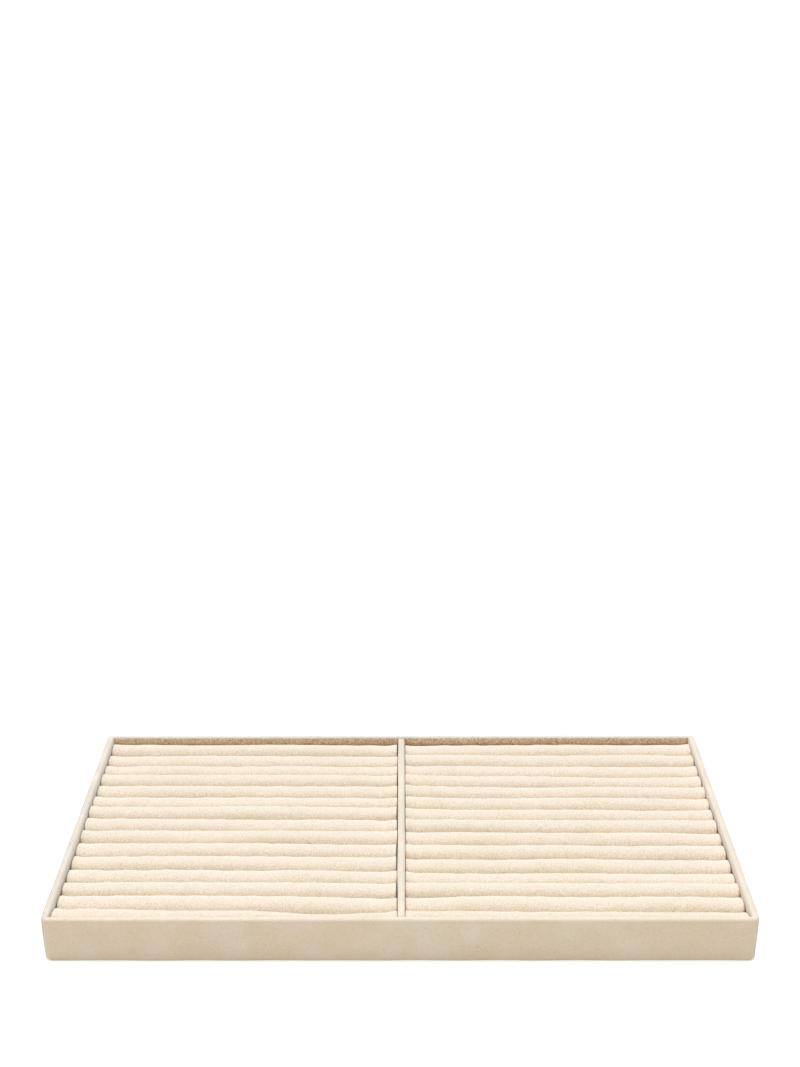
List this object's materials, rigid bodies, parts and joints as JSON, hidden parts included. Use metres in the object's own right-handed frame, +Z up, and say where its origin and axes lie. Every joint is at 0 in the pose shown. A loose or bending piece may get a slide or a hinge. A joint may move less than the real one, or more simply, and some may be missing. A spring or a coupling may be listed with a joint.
{
  "type": "ring tray insert",
  "caption": "Shallow rectangular tray covered in cream microsuede, split by a thin divider into two banks of padded rolls that grip rings by their bands.",
  "frame": {"origin": "on the surface it stands on, under the middle of the tray", "axes": "+X along the tray's width and along the rolls, +Y from the front wall to the back wall, +Z up"},
  "size_m": [0.4, 0.23, 0.0275],
  "materials": {
    "wall_cover": "cream microsuede with a fine nap, wrapped and glued over board, mitred at the corners",
    "base_cover": "microsuede glued flat on the base board",
    "roll_cover": "cream microsuede with a fine nap, soft over foam"
  },
  "bodies": {
    "root": {"base_panel": "base_cover", "front_wall": "wall_cover", "back_wall": "wall_cover", "left_wall": "wall_cover", "right_wall": "wall_cover", "divider": "wall_cover", "ring_roll_left_01": "roll_cover", "ring_roll_left_02": "roll_cover", "ring_roll_left_03": "roll_cover", "ring_roll_left_04": "roll_cover", "ring_roll_left_05": "roll_cover", "ring_roll_left_06": "roll_cover", "ring_roll_left_07": "roll_cover", "ring_roll_left_08": "roll_cover", "ring_roll_left_09": "roll_cover", "ring_roll_left_10": "roll_cover", "ring_roll_left_11": "roll_cover", "ring_roll_left_12": "roll_cover", "ring_roll_left_13": "roll_cover", "ring_roll_left_14": "roll_cover", "ring_roll_left_15": "roll_cover", "ring_roll_right_01": "roll_cover", "ring_roll_right_02": "roll_cover", "ring_roll_right_03": "roll_cover", "ring_roll_right_04": "roll_cover", "ring_roll_right_05": "roll_cover", "ring_roll_right_06": "roll_cover", "ring_roll_right_07": "roll_cover", "ring_roll_right_08": "roll_cover", "ring_roll_right_09": "roll_cover", "ring_roll_right_10": "roll_cover", "ring_roll_right_11": "roll_cover", "ring_roll_right_12": "roll_cover", "ring_roll_right_13": "roll_cover", "ring_roll_right_14": "roll_cover", "ring_roll_right_15": "roll_cover"}
  },
  "joints": []
}
